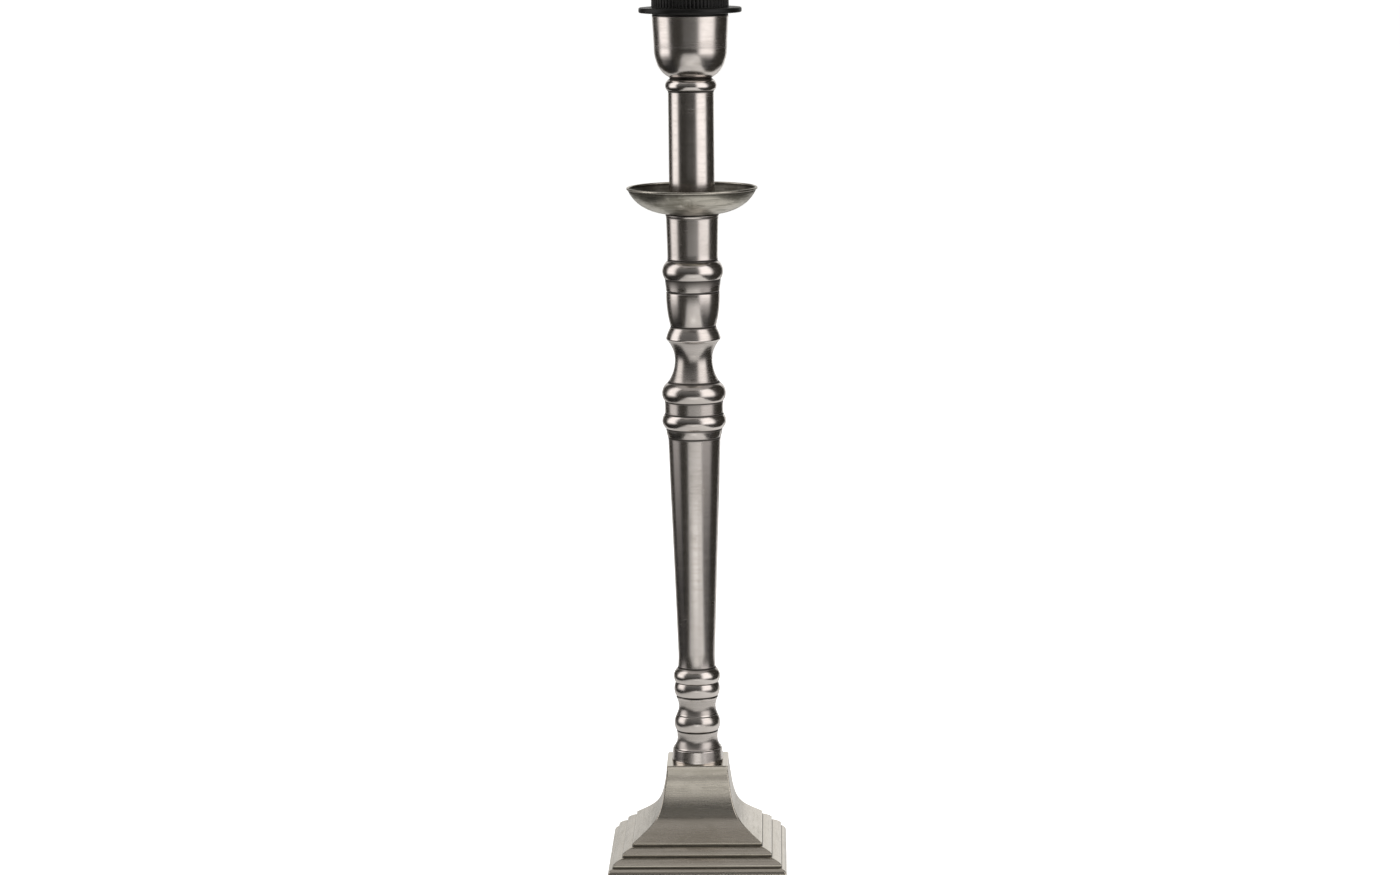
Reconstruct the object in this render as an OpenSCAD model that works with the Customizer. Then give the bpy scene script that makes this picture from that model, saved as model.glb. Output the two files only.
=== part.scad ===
// Candlestick table lamp base: a square moulded foot, a column of turned pieces threaded
// on one hollow rod, a drip pan, a plain candle tube and a lampholder with its shade ring.
// Origin: centre of the underside. +Z up, the cord outlet is at the back (+Y).

/* [Base] */
// Width of the square foot across its plinth
base_w = 100; // [98:1:110]
// Height of the foot from the table to the top of its neck
base_h = 67; // [64:1:72]
// Width of the square neck under the column
neck_w = 34.6; // [32:0.2:36]
// Width of the foot where the flare ends
flare_w = 72.8; // [70:0.2:74]
// Height at which the flare ends
flare_z = 27.2; // [25.5:0.1:28]
// Width added by each of the two shingled bands, on each side
band_step = 5.4; // [5:0.1:5.8]
// Height of the dark riser under the flare and under each band
riser_h = 1.8; // [1.4:0.1:2]
// How far each riser is cut back under the edge above it
riser_cut = 0.5; // [0.2:0.1:0.8]
// Wall of the cast foot
base_wall = 2; // [1.6:0.1:2.4]
// Thickness of the felt pad
felt_t = 2; // [1.5:0.1:2.5]
// Gap between the rim of the foot and the table
rim_gap = 1; // [0.5:0.1:1.2]
// Thickness of the cover plate over the underside
cover_t = 1.2; // [0.8:0.1:1.4]
// Width of the cast iron weight
weight_w = 86; // [80:1:88]

/* [Cord outlet] */
// Bore of the bush, for a round two-core lead
cord_bore_r = 3.1; // [2.6:0.1:3.2]
// Height of the bush above the table
cord_z = 6.4; // [6.2:0.1:6.6]

/* [Hollow rod] */
// Radius of the M10 x 1 threaded tube
rod_r = 5; // [5:0.1:5.2]
// Radius of the wire way through the tube
wire_way_r = 3.8; // [3.5:0.1:4]
// Radius of the holes that the tube passes through
rod_hole_r = 5.25; // [5.25:0.05:5.5]

/* [Column heights] */
// Foot of the column, from the neck of the base to the first seam
foot_h = 17.3; // [15:0.1:21]
// Spool above the foot
spool_h = 19.9; // [17:0.1:22]
// Lower knop with its two beads
lower_knop_h = 16.6; // [14:0.1:18]
// Tapered shaft
shaft_h = 131.4; // [100:0.1:160]
// Knop with twin beads above the shaft
twin_bead_h = 31.5; // [27:0.1:33]
// Hourglass waist with its pointed ring
waist_h = 31.2; // [29:0.1:35]
// Barrel above the waist
barrel_h = 19.5; // [17:0.1:22]
// Upper knop with one large bead
upper_knop_h = 17.9; // [17:0.1:21]
// Sleeve under the drip pan
sleeve_h = 25.3; // [20:0.1:32]
// Neck ring under the holder cup
neck_ring_h = 6.9; // [6:0.1:9]
// Holder cup
cup_h = 35; // [34:0.1:36]

/* [Drip pan and candle tube] */
// Radius of the pan over its rolled rim
pan_r = 36.5; // [34:0.1:38]
// Height of the pan from its seat to the middle of the rolled rim
pan_h = 14.4; // [12:0.1:15]
// Thickness of the spun pan
pan_wall = 1.2; // [1:0.1:1.4]
// Outer radius of the candle tube
candle_r = 12.7; // [12:0.1:12.8]
// Visible height of the candle tube above the floor of the pan
candle_h = 67; // [50:0.1:80]
// Wall of the candle tube
candle_wall = 1.2; // [1:0.1:1.4]

/* [Lampholder] */
// Radius over the outside thread of the holder skirt, M40
skirt_r = 19.95; // [19.9:0.01:20]
// Height of the threaded skirt above the holder cap
skirt_h = 23.7; // [22:0.1:26]
// Radius of the lamp socket at the root of its thread, E27
socket_r = 13.35; // [13.3:0.05:13.45]
// Travel of the sprung centre contact
contact_travel = 1.5; // [1:0.1:1.6]

/* [Shade ring] */
// Radius of the ring's flange
ring_flange_r = 28.5; // [27:0.5:30]
// Thickness of the flange
ring_flange_t = 2.9; // [2.5:0.1:4]
// Radius of the ribbed collar
ring_collar_r = 21.4; // [21.3:0.1:22]
// Height of the ribbed collar above the flange
ring_collar_h = 8.8; // [6:0.1:10]
// Number of finger ribs round the collar
rib_count = 60; // [40:1:72]

/* [Hidden] */

silver = [0.72, 0.69, 0.64];
black = [0.07, 0.07, 0.07];
brass = [0.80, 0.64, 0.34];
steel = [0.62, 0.62, 0.62];
turn_fn = 96;
arc_step = 8;  // degrees of arc between two points of a round stretch
slip = 0.05;   // radial gap between a screwed or slid-in piece and its hole

// Heights of the stack, each piece standing on the one before it
spool_z = base_h + foot_h;
lower_knop_z = spool_z + spool_h;
shaft_z = lower_knop_z + lower_knop_h;
twin_bead_z = shaft_z + shaft_h;
waist_z = twin_bead_z + twin_bead_h;
barrel_z = waist_z + waist_h;
upper_knop_z = barrel_z + barrel_h;
sleeve_z = upper_knop_z + upper_knop_h;
pan_z = sleeve_z + sleeve_h;
candle_z = pan_z + pan_wall;
neck_ring_z = candle_z + candle_h;
cup_z = neck_ring_z + neck_ring_h;

// Foot
base_half = base_w / 2;
neck_half = neck_w / 2;
neck_edge = 0.7;      // rounding of the neck's top edge
neck_plate = 4;       // solid metal at the top of the neck
shell_drop = 4.9;     // fall of each shingled band from its inner to its outer edge
plinth_round = 4.2;   // height of the rounded top of the plinth
weight_top = 16;      // the ledge inside the shell that the weight is pulled up against
weight_z = felt_t + cover_t + 1.3;
nut_recess_r = 15;
nut_recess_h = 7.5;
washer_t = 1.2;
lock_washer_t = 0.8;
nut_t = 3;
nut_flats = 14;       // across the flats of an M10 x 1 nut
cord_slot_w = 10;

// Cup, cap and contacts, measured from the underside of the cup
cup_floor = 2.4;
cup_wall = 1.1;
cap_z = cup_z + cup_floor + washer_t + nut_t + 0.3;
cap_top = cup_z + cup_h + 1.2;
cap_lip_t = 1.1;
cap_boss_h = 3.6;
cap_floor_t = 2.5;
cap_wall_r = 15.9;
cap_ledge_r = 14.4;
plunger_collar_t = 0.7;
block_z = cap_z + cap_boss_h + cap_floor_t + plunger_collar_t + contact_travel + 0.3;
block_h = 8.5;
strip_t = 0.5;
stem_r = 1.5;
contact_head_r = 3.4;
contact_head_t = 3;
socket_mouth = 2;     // depth of the chamfer at the mouth of the socket
socket_l = 24;
socket_floor = cap_top + skirt_h - socket_mouth - socket_l;
contact_top = socket_floor - 0.4;
spring_wire_r = 0.25;
spring_r = 2.5;
spring_turns = 5;
screw_x = 9.4;
rod_bottom = 5.5;
rod_top = cap_z + cap_boss_h + cap_floor_t - 0.7;

// ---------------------------------------------------------------- outlines
// An outline is a list of rows [radius, height, swell], from the bottom up. Swell is how far
// the line to the next row bows out from straight; it bows in where swell is negative.

function reversed(list) = [for (i = [len(list) - 1 : -1 : 0]) list[i]];

// Points of the stretch from a to b, without b
function stretch_points(a, b, swell) =
    swell == 0 ? [a] :
    let (
        chord = norm(b - a),
        along = (b - a) / chord,
        out = [along[1], -along[0]],
        half_angle = 2 * atan(2 * swell / chord),
        radius = (chord * chord / 4 + swell * swell) / (2 * swell),
        centre = (a + b) / 2 + out * (swell - radius),
        count = ceil(2 * abs(half_angle) / arc_step)
    )
    [for (i = [0 : count - 1])
        let (angle = half_angle * (2 * i / count - 1))
        centre + radius * (out * cos(angle) + along * sin(angle))];

function row_point(row) = [row[0], row[1]];

function outline_points(rows) = [
    for (i = [0 : len(rows) - 2])
        each stretch_points(row_point(rows[i]), row_point(rows[i + 1]), rows[i][2]),
    row_point(rows[len(rows) - 1])
];

// Points of a cubic curve between p[0] and p[3], without its last point
function curve_points(p, count) = [
    for (i = [0 : count - 1])
        let (t = i / count, s = 1 - t)
        s * s * s * p[0] + 3 * s * s * t * p[1] + 3 * s * t * t * p[2] + t * t * t * p[3]
];

// ---------------------------------------------------------------- shared shapes

// A piece turned on the lathe, between an outer and an inner outline
module turned(outer, inner) {
    rotate_extrude($fn = turn_fn)
        polygon(concat(outline_points(outer), reversed(outline_points(inner))));
}

// A solid turned piece with a plain hole for the rod
module turned_on_rod(outer, h) {
    turned(outer, [[rod_hole_r, 0, 0], [rod_hole_r, h, 0]]);
}

// A hollow turned piece: end walls bored for the rod, and a cavity tapering between them
module turned_hollow(outer, h, end_wall, low_r, high_r) {
    turned(outer, [
        [rod_hole_r, 0, 0],
        [rod_hole_r, end_wall, 0],
        [low_r, end_wall, 0],
        [high_r, h - end_wall, 0],
        [rod_hole_r, h - end_wall, 0],
        [rod_hole_r, h, 0]
    ]);
}

module ring(outer_r, inner_r, h) {
    difference() {
        cylinder(h = h, r = outer_r, $fn = turn_fn);
        translate([0, 0, -1]) cylinder(h = h + 2, r = inner_r, $fn = turn_fn);
    }
}

module hex_nut(flats, bore_r, h) {
    difference() {
        cylinder(h = h, r = flats / 2 / cos(30), $fn = 6);
        translate([0, 0, -1]) cylinder(h = h + 2, r = bore_r, $fn = turn_fn);
    }
}

module square_plate(width, h) {
    translate([-width / 2, -width / 2, 0]) cube([width, width, h]);
}

// A square moulding: the half outline swept round four sides that meet in mitres
module square_moulding(half_outline) {
    mirrored = [for (p = reversed(half_outline)) [-p[0], p[1]]];
    reach = 2 * base_w;
    module side_slab() {
        rotate([90, 0, 0])
            linear_extrude(height = reach, center = true) polygon(concat(half_outline, mirrored));
    }
    intersection() {
        side_slab();
        rotate([0, 0, 90]) side_slab();
    }
}

// ---------------------------------------------------------------- foot of the lamp

module felt_pad() {
    color("darkgreen") square_plate(base_w - 9, felt_t);
}

module base_cover() {
    color(steel) translate([0, 0, felt_t]) square_plate(base_w - 2 * base_wall - 2, cover_t);
}

module base_weight() {
    color("dimgray") difference() {
        translate([0, 0, weight_z]) square_plate(weight_w, weight_top - weight_z);
        cylinder(h = base_h, r = rod_hole_r, $fn = turn_fn);
        cylinder(h = weight_z + nut_recess_h, r = nut_recess_r, $fn = turn_fn);
        translate([-cord_slot_w / 2, 0, 0]) cube([cord_slot_w, base_w, cord_z + cord_bore_r + 2]);
    }
}

// Half outline of the foot from its rim up to the flat top of the neck
function base_outline() =
    let (
        flare_half = flare_w / 2,
        band_1_half = flare_half + band_step,
        band_2_half = band_1_half + band_step,
        band_1_z = flare_z - shell_drop,
        band_2_z = band_1_z - shell_drop,
        plinth_top = band_2_z - riser_h,
        straight_z = plinth_top - plinth_round
    )
    concat(
        outline_points([
            [base_half, rim_gap, 0],
            [base_half, straight_z, 0.9],
            [band_2_half, plinth_top, 0],
            [band_2_half - riser_cut, plinth_top + 0.3, 0],
            [band_2_half, band_2_z, 0.45],
            [band_1_half, band_1_z - riser_h, 0],
            [band_1_half - riser_cut, band_1_z - riser_h + 0.3, 0],
            [band_1_half, band_1_z, 0.45],
            [flare_half, flare_z - riser_h, 0],
            [flare_half - riser_cut, flare_z - riser_h + 0.3, 0]
        ]),
        curve_points([
            [flare_half, flare_z],
            [flare_half - 15.5, flare_z + 10.6],
            [neck_half + 3.4, base_h - 29.5],
            [neck_half, base_h - 3]
        ], 12),
        outline_points([
            [neck_half, base_h - 3, 0],
            [neck_half, base_h - neck_edge, 0.2],
            [neck_half - neck_edge, base_h, 0]
        ])
    );

// Half outline of the hollow inside the foot
function base_hollow() = [
    [base_half - base_wall - 0.4, 0],
    [base_half - base_wall - 0.4, 10],
    [weight_w / 2 + 0.8, 12],
    [weight_w / 2 + 0.8, weight_top],
    [flare_w / 2 + 1.4, weight_top],
    [flare_w / 2 + 1.4, weight_top + 2.5],
    [flare_w / 2 - 3.4, flare_z - 3.2],
    [flare_w / 2 - 11, flare_z + 4],
    [neck_half + 2.4, flare_z + 12],
    [neck_half - base_wall - 0.6, base_h - 14],
    [neck_half - base_wall - 1, base_h - neck_plate]
];

module base_shell() {
    color(silver) difference() {
        square_moulding(base_outline());
        square_moulding(base_hollow());
        translate([0, 0, base_h / 2]) cylinder(h = base_h, r = rod_hole_r, $fn = turn_fn);
        translate([0, base_half - 10, cord_z]) rotate([-90, 0, 0])
            cylinder(h = 20, r = cord_bore_r + 0.9, $fn = turn_fn);
    }
}

// Flanged bush that guards the lead where it leaves the back of the plinth
module cord_bush() {
    color(black) translate([0, base_half, cord_z]) rotate([90, 0, 0]) turned(
        [
            [cord_bore_r + 1.4, -1.2, 0.3],
            [cord_bore_r + 1.7, 0, 0],
            [cord_bore_r + 0.85, 0, 0],
            [cord_bore_r + 0.85, 2.6, 0]
        ],
        [[cord_bore_r, -1.2, 0], [cord_bore_r, 2.6, 0]]
    );
}

module base_washer() {
    color(steel) translate([0, 0, weight_z + nut_recess_h - washer_t])
        ring(12, rod_hole_r, washer_t);
}

// Lock washer with a ring of biting teeth round its edge
module base_lock_washer() {
    teeth = 12;
    color(steel)
        translate([0, 0, weight_z + nut_recess_h - washer_t - lock_washer_t])
        linear_extrude(height = lock_washer_t)
        difference() {
            circle(r = 9, $fn = turn_fn);
            circle(r = rod_hole_r, $fn = turn_fn);
            for (i = [0 : teeth - 1])
                rotate(i * 360 / teeth) translate([9.2, 0]) circle(r = 1.1, $fn = 24);
        }
}

module base_nut() {
    color(brass)
        translate([0, 0, weight_z + nut_recess_h - washer_t - lock_washer_t - nut_t])
        hex_nut(nut_flats, rod_r + slip, nut_t);
}

module threaded_tube() {
    color(steel) translate([0, 0, rod_bottom]) ring(rod_r, wire_way_r, rod_top - rod_bottom);
}

// ---------------------------------------------------------------- turned column

// Drum that stands on the neck, with a swept collar above it
module column_foot() {
    color(silver) translate([0, 0, base_h]) turned_on_rod([
        [14.6, 0, 0.1],
        [13.95, 0.39 * foot_h, 0],
        [13.3, 0.41 * foot_h, 0],
        [13.6, 0.43 * foot_h, -0.65],
        [11.35, 0.76 * foot_h, -0.1],
        [11.75, 0.985 * foot_h, 0],
        [11.45, foot_h, 0]
    ], foot_h);
}

module spool() {
    color(silver) translate([0, 0, spool_z]) turned_on_rod([
        [11.45, 0, 0],
        [12.2, 0.03 * spool_h, 0.95],
        [11.75, 0.44 * spool_h, 0],
        [11.35, 0.455 * spool_h, 0],
        [11.6, 0.47 * spool_h, -0.3],
        [10.4, 0.68 * spool_h, -0.35],
        [11.85, 0.965 * spool_h, 0],
        [11.5, spool_h, 0]
    ], spool_h);
}

module lower_knop() {
    color(silver) translate([0, 0, lower_knop_z]) turned_on_rod([
        [11.15, 0, 0],
        [12.1, 0.03 * lower_knop_h, 0.8],
        [12.1, 0.465 * lower_knop_h, 0],
        [11.75, 0.48 * lower_knop_h, 0],
        [12.25, 0.495 * lower_knop_h, 1.45],
        [10.95, 0.96 * lower_knop_h, 0],
        [10.45, lower_knop_h, 0]
    ], lower_knop_h);
}

// Long shaft, widening upwards, hollow between its end walls
module tapered_shaft() {
    color(silver) translate([0, 0, shaft_z]) turned_hollow([
        [10.65, 0, -0.15],
        [10.37, 0.065 * shaft_h, 0],
        [14.65, shaft_h, 0]
    ], shaft_h, 8, 7.8, 12.2);
}

// Collar and two equal beads with a shallow band between them
module twin_bead_knop() {
    color(silver) translate([0, 0, twin_bead_z]) turned_on_rod([
        [14.75, 0, 0.15],
        [15.75, 0.15 * twin_bead_h, 0],
        [15.8, 0.165 * twin_bead_h, 1.75],
        [16.4, 0.425 * twin_bead_h, 0],
        [16.3, 0.435 * twin_bead_h, -0.1],
        [16.3, 0.655 * twin_bead_h, 0],
        [16.65, 0.67 * twin_bead_h, 2.2],
        [14.5, 0.985 * twin_bead_h, 0],
        [14.3, twin_bead_h, 0]
    ], twin_bead_h);
}

// Hourglass that ends in a ring with a soft point
module waist() {
    color(silver) translate([0, 0, waist_z]) turned_on_rod([
        [14.3, 0, -1],
        [10.45, 0.4 * waist_h, -0.6],
        [12.7, 0.66 * waist_h, -0.2],
        [15.05, 0.765 * waist_h, 0.2],
        [15.1, 0.805 * waist_h, 0.25],
        [12.5, waist_h, 0]
    ], waist_h);
}

module barrel_knop() {
    color(silver) translate([0, 0, barrel_z]) turned_on_rod([
        [12.65, 0, 0.25],
        [14.6, 0.53 * barrel_h, 0.15],
        [14.95, 0.965 * barrel_h, 0],
        [14.5, barrel_h, 0]
    ], barrel_h);
}

module upper_knop() {
    color(silver) translate([0, 0, upper_knop_z]) turned_on_rod([
        [14.5, 0, 0],
        [15, 0.035 * upper_knop_h, 0],
        [15.5, 0.375 * upper_knop_h, 0],
        [15.6, 0.395 * upper_knop_h, 2.15],
        [14, 0.965 * upper_knop_h, 0],
        [13.75, upper_knop_h, 0]
    ], upper_knop_h);
}

module upper_sleeve() {
    color(silver) translate([0, 0, sleeve_z]) turned_hollow([
        [14.1, 0, -0.03],
        [14.05, 0.15 * sleeve_h, 0],
        [14.55, 0.935 * sleeve_h, 0],
        [14.8, 0.97 * sleeve_h, 0],
        [14.8, sleeve_h, 0]
    ], sleeve_h, 3, 12, 12);
}

// Shallow spun bowl with a rolled rim; the candle tube stands on its floor
module drip_pan() {
    rim_r = 0.7;
    rim_x = pan_r - rim_r;
    belly = [0.82 * rim_x, 0.39 * pan_h];
    outer = [
        [rod_hole_r, 0, 0],
        [14.35, 0, 0],
        [14.85, 0.4, 1.05],
        [belly[0], belly[1], 0.75],
        [rim_x + 0.3, pan_h, 0]
    ];
    inner = [
        [rod_hole_r, pan_wall, 0],
        [candle_r + 0.9, pan_wall, 1.05],
        [belly[0] - 0.6, belly[1] + pan_wall, 0.75],
        [rim_x - 0.6, pan_h, 0]
    ];
    color(silver) translate([0, 0, pan_z]) rotate_extrude($fn = turn_fn) union() {
        polygon(concat(outline_points(outer), reversed(outline_points(inner))));
        translate([rim_x, pan_h]) circle(r = rim_r, $fn = 32);
    }
}

module candle_tube() {
    color(silver) translate([0, 0, candle_z]) ring(candle_r, candle_r - candle_wall, candle_h);
}

// Discs that keep the rod in the middle of the candle tube
module centring_discs() {
    disc_t = 3;
    color(steel) for (z = [candle_z, candle_z + candle_h - disc_t])
        translate([0, 0, z]) ring(candle_r - candle_wall - slip, rod_hole_r, disc_t);
}

module neck_ring() {
    color(silver) translate([0, 0, neck_ring_z]) turned_on_rod([
        [12.75, 0, 0],
        [13.2, 0.06 * neck_ring_h, 1.6],
        [12.1, 0.95 * neck_ring_h, 0],
        [11.9, neck_ring_h, 0]
    ], neck_ring_h);
}

// Spun cup that hides the lampholder
module holder_cup() {
    color(silver) translate([0, 0, cup_z]) turned(
        [
            [11.4, 0, 0],
            [11.9, 0.02 * cup_h, 1.15],
            [18.9, 0.26 * cup_h, 0.45],
            [20.2, 0.5 * cup_h, 0.1],
            [20.65, 0.74 * cup_h, 0],
            [21.15, cup_h - 0.3, 0],
            [20.95, cup_h, 0]
        ],
        [
            [rod_hole_r, 0, 0],
            [rod_hole_r, cup_floor, 0],
            [12.5, cup_floor, 1],
            [17.8, 0.3 * cup_h, 0.4],
            [20.2 - cup_wall, 0.5 * cup_h, 0],
            [21.15 - cup_wall, cup_h, 0]
        ]
    );
}

module cup_washer() {
    color(steel) translate([0, 0, cup_z + cup_floor]) ring(9, rod_hole_r, washer_t);
}

module cup_nut() {
    color(brass) translate([0, 0, cup_z + cup_floor + washer_t])
        hex_nut(nut_flats, rod_r + slip, nut_t);
}

// ---------------------------------------------------------------- lampholder

grub_z = cap_z + cap_boss_h / 2;
grub_r = 1.5;

// Moulded cap: screwed on the rod by its boss, with a lip that covers the cup's rim
module holder_cap() {
    floor_z = cap_z + cap_boss_h;
    color(black) difference() {
        turned(
            [
                [rod_r + slip, cap_z, 0],
                [7.5, cap_z, 0],
                [7.5, floor_z, 0],
                [15.6, floor_z, 0.5],
                [17.4, floor_z + 3.6, 0],
                [18, cap_top - cap_lip_t, 0],
                [21, cap_top - cap_lip_t, 0],
                [21, cap_top, 0]
            ],
            [
                [rod_r + slip, cap_z, 0],
                [rod_r + slip, floor_z + cap_floor_t, 0],
                [cap_ledge_r, floor_z + cap_floor_t, 0],
                [cap_ledge_r, block_z, 0],
                [cap_wall_r, block_z, 0],
                [cap_wall_r, cap_top, 0]
            ]
        );
        translate([0, 0, grub_z]) rotate([0, 90, 0])
            cylinder(h = 10, r = grub_r + slip, $fn = 32);
    }
}

// Grub screw that stops the cap turning on the rod
module cap_grub_screw() {
    color(steel) translate([rod_r + slip, 0, grub_z]) rotate([0, 90, 0]) difference() {
        cylinder(h = 2.2, r = grub_r, $fn = 32);
        translate([0, 0, 1.2]) cylinder(h = 2, r = 0.85, $fn = 6);
    }
}

module contact_block() {
    color("ivory") translate([0, 0, block_z]) difference() {
        cylinder(h = block_h, r = cap_wall_r - 0.2, $fn = turn_fn);
        translate([0, 0, -1]) cylinder(h = block_h + 2, r = stem_r + 0.06, $fn = 48);
        for (x = [-screw_x, screw_x])
            translate([x, 0, 2]) cylinder(h = block_h, r = stem_r + slip, $fn = 32);
        for (y = [-10.5, 10.5])
            translate([0, y, -1]) cylinder(h = block_h + 2, r = 2, $fn = 32);
    }
}

// Strip that carries current from its screw to the foot of the contact spring
module centre_terminal() {
    color(brass) translate([0, 0, block_z + block_h]) difference() {
        translate([-screw_x - 3, -3, 0]) cube([screw_x + 6, 6, strip_t]);
        translate([0, 0, -1]) cylinder(h = 3, r = stem_r + 0.2, $fn = 32);
        translate([-screw_x, 0, -1]) cylinder(h = 3, r = stem_r + slip, $fn = 32);
    }
}

// Bent strip that touches the side of the lamp's threaded shell
module side_contact() {
    foot_x = 6;
    wall_x = 13.4;
    lip_x = 11.4;
    top = contact_top - block_z - block_h;
    color(brass) translate([0, 0, block_z + block_h]) difference() {
        rotate([90, 0, 0]) linear_extrude(height = 5, center = true) polygon([
            [foot_x, 0],
            [wall_x - 0.5, 0],
            [wall_x, 0.5],
            [wall_x, top - 0.5],
            [wall_x - 0.5, top],
            [lip_x, top],
            [lip_x, top - strip_t],
            [wall_x - strip_t - 0.2, top - strip_t],
            [wall_x - strip_t, top - strip_t - 0.2],
            [wall_x - strip_t, strip_t + 0.2],
            [wall_x - strip_t - 0.2, strip_t],
            [foot_x, strip_t]
        ]);
        translate([screw_x, 0, -1]) cylinder(h = 3, r = stem_r + slip, $fn = 32);
    }
}

// Slotted cheese-head screws, one for each conductor
module terminal_screws() {
    shank = 6;
    head_t = 1.9;
    color(brass) for (x = [-screw_x, screw_x])
        translate([x, 0, block_z + block_h + strip_t]) difference() {
            union() {
                translate([0, 0, -shank]) cylinder(h = shank, r = stem_r, $fn = 32);
                cylinder(h = head_t, r = 2.6, $fn = 32);
            }
            translate([-3, -0.4, head_t - 0.8]) cube([6, 0.8, 2]);
        }
}

// Plunger that the lamp pushes down: a domed head, a stem and a collar under the block
module centre_contact() {
    head_z = contact_top - contact_head_t;
    collar_top = block_z - slip;
    color(brass) turned(
        [
            [0, collar_top - plunger_collar_t, 0],
            [2.6, collar_top - plunger_collar_t, 0],
            [2.6, collar_top, 0],
            [stem_r, collar_top, 0],
            [stem_r, head_z, 0],
            [contact_head_r, head_z, 0],
            [contact_head_r, head_z + 0.45 * contact_head_t, 0.6],
            [0, contact_top, 0]
        ],
        [[0, collar_top - plunger_collar_t, 0], [0, contact_top, 0]]
    );
}

// Compression spring under the head of the plunger, a round wire wound in a helix
module contact_spring() {
    sides = 6;
    steps = 14;
    last = spring_turns * steps;
    low = block_z + block_h + strip_t + spring_wire_r + 0.02;
    high = contact_top - contact_head_t - spring_wire_r - 0.02;
    points = [for (i = [0 : last], k = [0 : sides - 1])
        let (
            turn = 360 * i / steps,
            side = 360 * k / sides,
            r = spring_r + spring_wire_r * cos(side),
            z = low + (high - low) * i / last + spring_wire_r * sin(side)
        )
        [r * cos(turn), r * sin(turn), z]];
    walls = [for (i = [0 : last - 1], k = [0 : sides - 1])
        let (a = i * sides + k, b = i * sides + (k + 1) % sides)
        [a, b, b + sides, a + sides]];
    first_end = [for (k = [sides - 1 : -1 : 0]) k];
    last_end = [for (k = [0 : sides - 1]) last * sides + k];
    color(steel) polyhedron(points, concat(walls, [first_end, last_end]));
}

// Skirt that screws into the cap and holds the lamp; its outside thread takes the shade ring
module holder_skirt() {
    foot_z = block_z + block_h + 0.2;
    top = cap_top + skirt_h;
    color(black) difference() {
        turned(
            [
                [14, foot_z, 0],
                [cap_wall_r - 0.1, foot_z, 0],
                [cap_wall_r - 0.1, cap_top, 0],
                [skirt_r, cap_top, 0],
                [skirt_r, top - 1, 0],
                [skirt_r - 0.8, top, 0]
            ],
            [
                [14, foot_z, 0],
                [14, socket_floor, 0],
                [socket_r, socket_floor, 0],
                [socket_r, top - socket_mouth, 0],
                [socket_r + 1.2, top, 0]
            ]
        );
        translate([0, 0, cap_top - 1]) ring(18.3, 15.9, skirt_h - 3);
    }
}

// Ring that clamps a shade down on the holder: a broad flange with a ribbed collar
module shade_ring() {
    bore_r = skirt_r + 0.08;
    rib_r = 0.55;
    seat_z = cap_top + slip;
    color(black) translate([0, 0, seat_z]) {
        turned(
            [
                [ring_flange_r - 0.9, 0, 0.2],
                [ring_flange_r, 0.9, 0],
                [ring_flange_r, ring_flange_t - 0.9, 0.2],
                [ring_flange_r - 0.9, ring_flange_t, 0]
            ],
            [[bore_r, 0, 0], [bore_r, ring_flange_t, 0]]
        );
        translate([0, 0, ring_flange_t]) linear_extrude(height = ring_collar_h) difference() {
            circle(r = ring_collar_r, $fn = turn_fn);
            circle(r = bore_r, $fn = turn_fn);
            for (i = [0 : rib_count - 1])
                rotate(i * 360 / rib_count) translate([ring_collar_r + 0.15, 0])
                    circle(r = rib_r, $fn = 24);
        }
    }
}

// ---------------------------------------------------------------- the lamp

felt_pad();
base_cover();
base_weight();
base_shell();
cord_bush();
base_washer();
base_lock_washer();
base_nut();
threaded_tube();
column_foot();
spool();
lower_knop();
tapered_shaft();
twin_bead_knop();
waist();
barrel_knop();
upper_knop();
upper_sleeve();
drip_pan();
candle_tube();
centring_discs();
neck_ring();
holder_cup();
cup_washer();
cup_nut();
holder_cap();
cap_grub_screw();
contact_block();
centre_terminal();
side_contact();
terminal_screws();
centre_contact();
contact_spring();
holder_skirt();
shade_ring();
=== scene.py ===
"""Looks of the candlestick table lamp base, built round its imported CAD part.

The pieces that show are made again at a higher resolution from the outlines or the boxes of their
CAD nodes, with rounded edges. The silver ones carry the marks that their material needs: how far a
point lies in a groove, how far it stands proud, and how far along the outline it is. The other CAD
nodes keep their mesh and get a material.
"""

import math

import bmesh
import bpy
import numpy as np
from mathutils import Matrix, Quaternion, Vector


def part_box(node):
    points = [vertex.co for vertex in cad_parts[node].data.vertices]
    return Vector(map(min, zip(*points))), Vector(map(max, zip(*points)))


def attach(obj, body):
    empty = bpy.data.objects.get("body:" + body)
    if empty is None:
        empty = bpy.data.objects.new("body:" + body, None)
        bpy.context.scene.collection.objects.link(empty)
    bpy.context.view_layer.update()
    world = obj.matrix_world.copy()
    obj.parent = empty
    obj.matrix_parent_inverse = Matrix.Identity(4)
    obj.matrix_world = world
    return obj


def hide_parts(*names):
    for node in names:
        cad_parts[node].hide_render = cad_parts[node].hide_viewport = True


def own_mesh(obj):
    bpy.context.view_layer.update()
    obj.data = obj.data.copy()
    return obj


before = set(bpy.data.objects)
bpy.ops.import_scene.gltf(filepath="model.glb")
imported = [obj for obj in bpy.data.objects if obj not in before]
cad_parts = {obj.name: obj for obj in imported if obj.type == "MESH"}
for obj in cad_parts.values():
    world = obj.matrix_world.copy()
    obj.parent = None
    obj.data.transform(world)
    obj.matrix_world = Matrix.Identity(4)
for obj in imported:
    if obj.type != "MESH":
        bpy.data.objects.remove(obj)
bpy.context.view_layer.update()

MM = 0.001
TURNS = 128  # segments round a turned piece
SAME_PLACE = 0.003 * MM  # CAD coordinates closer than this count as equal
CURVED_STEP = 0.9 * MM  # furthest apart that the rows of a piece lie where its outline is curved
STRAIGHT_STEP = 4 * MM  # and where it is straight
BEND_STEP = math.radians(4)  # most that the outline turns between two rows
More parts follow.
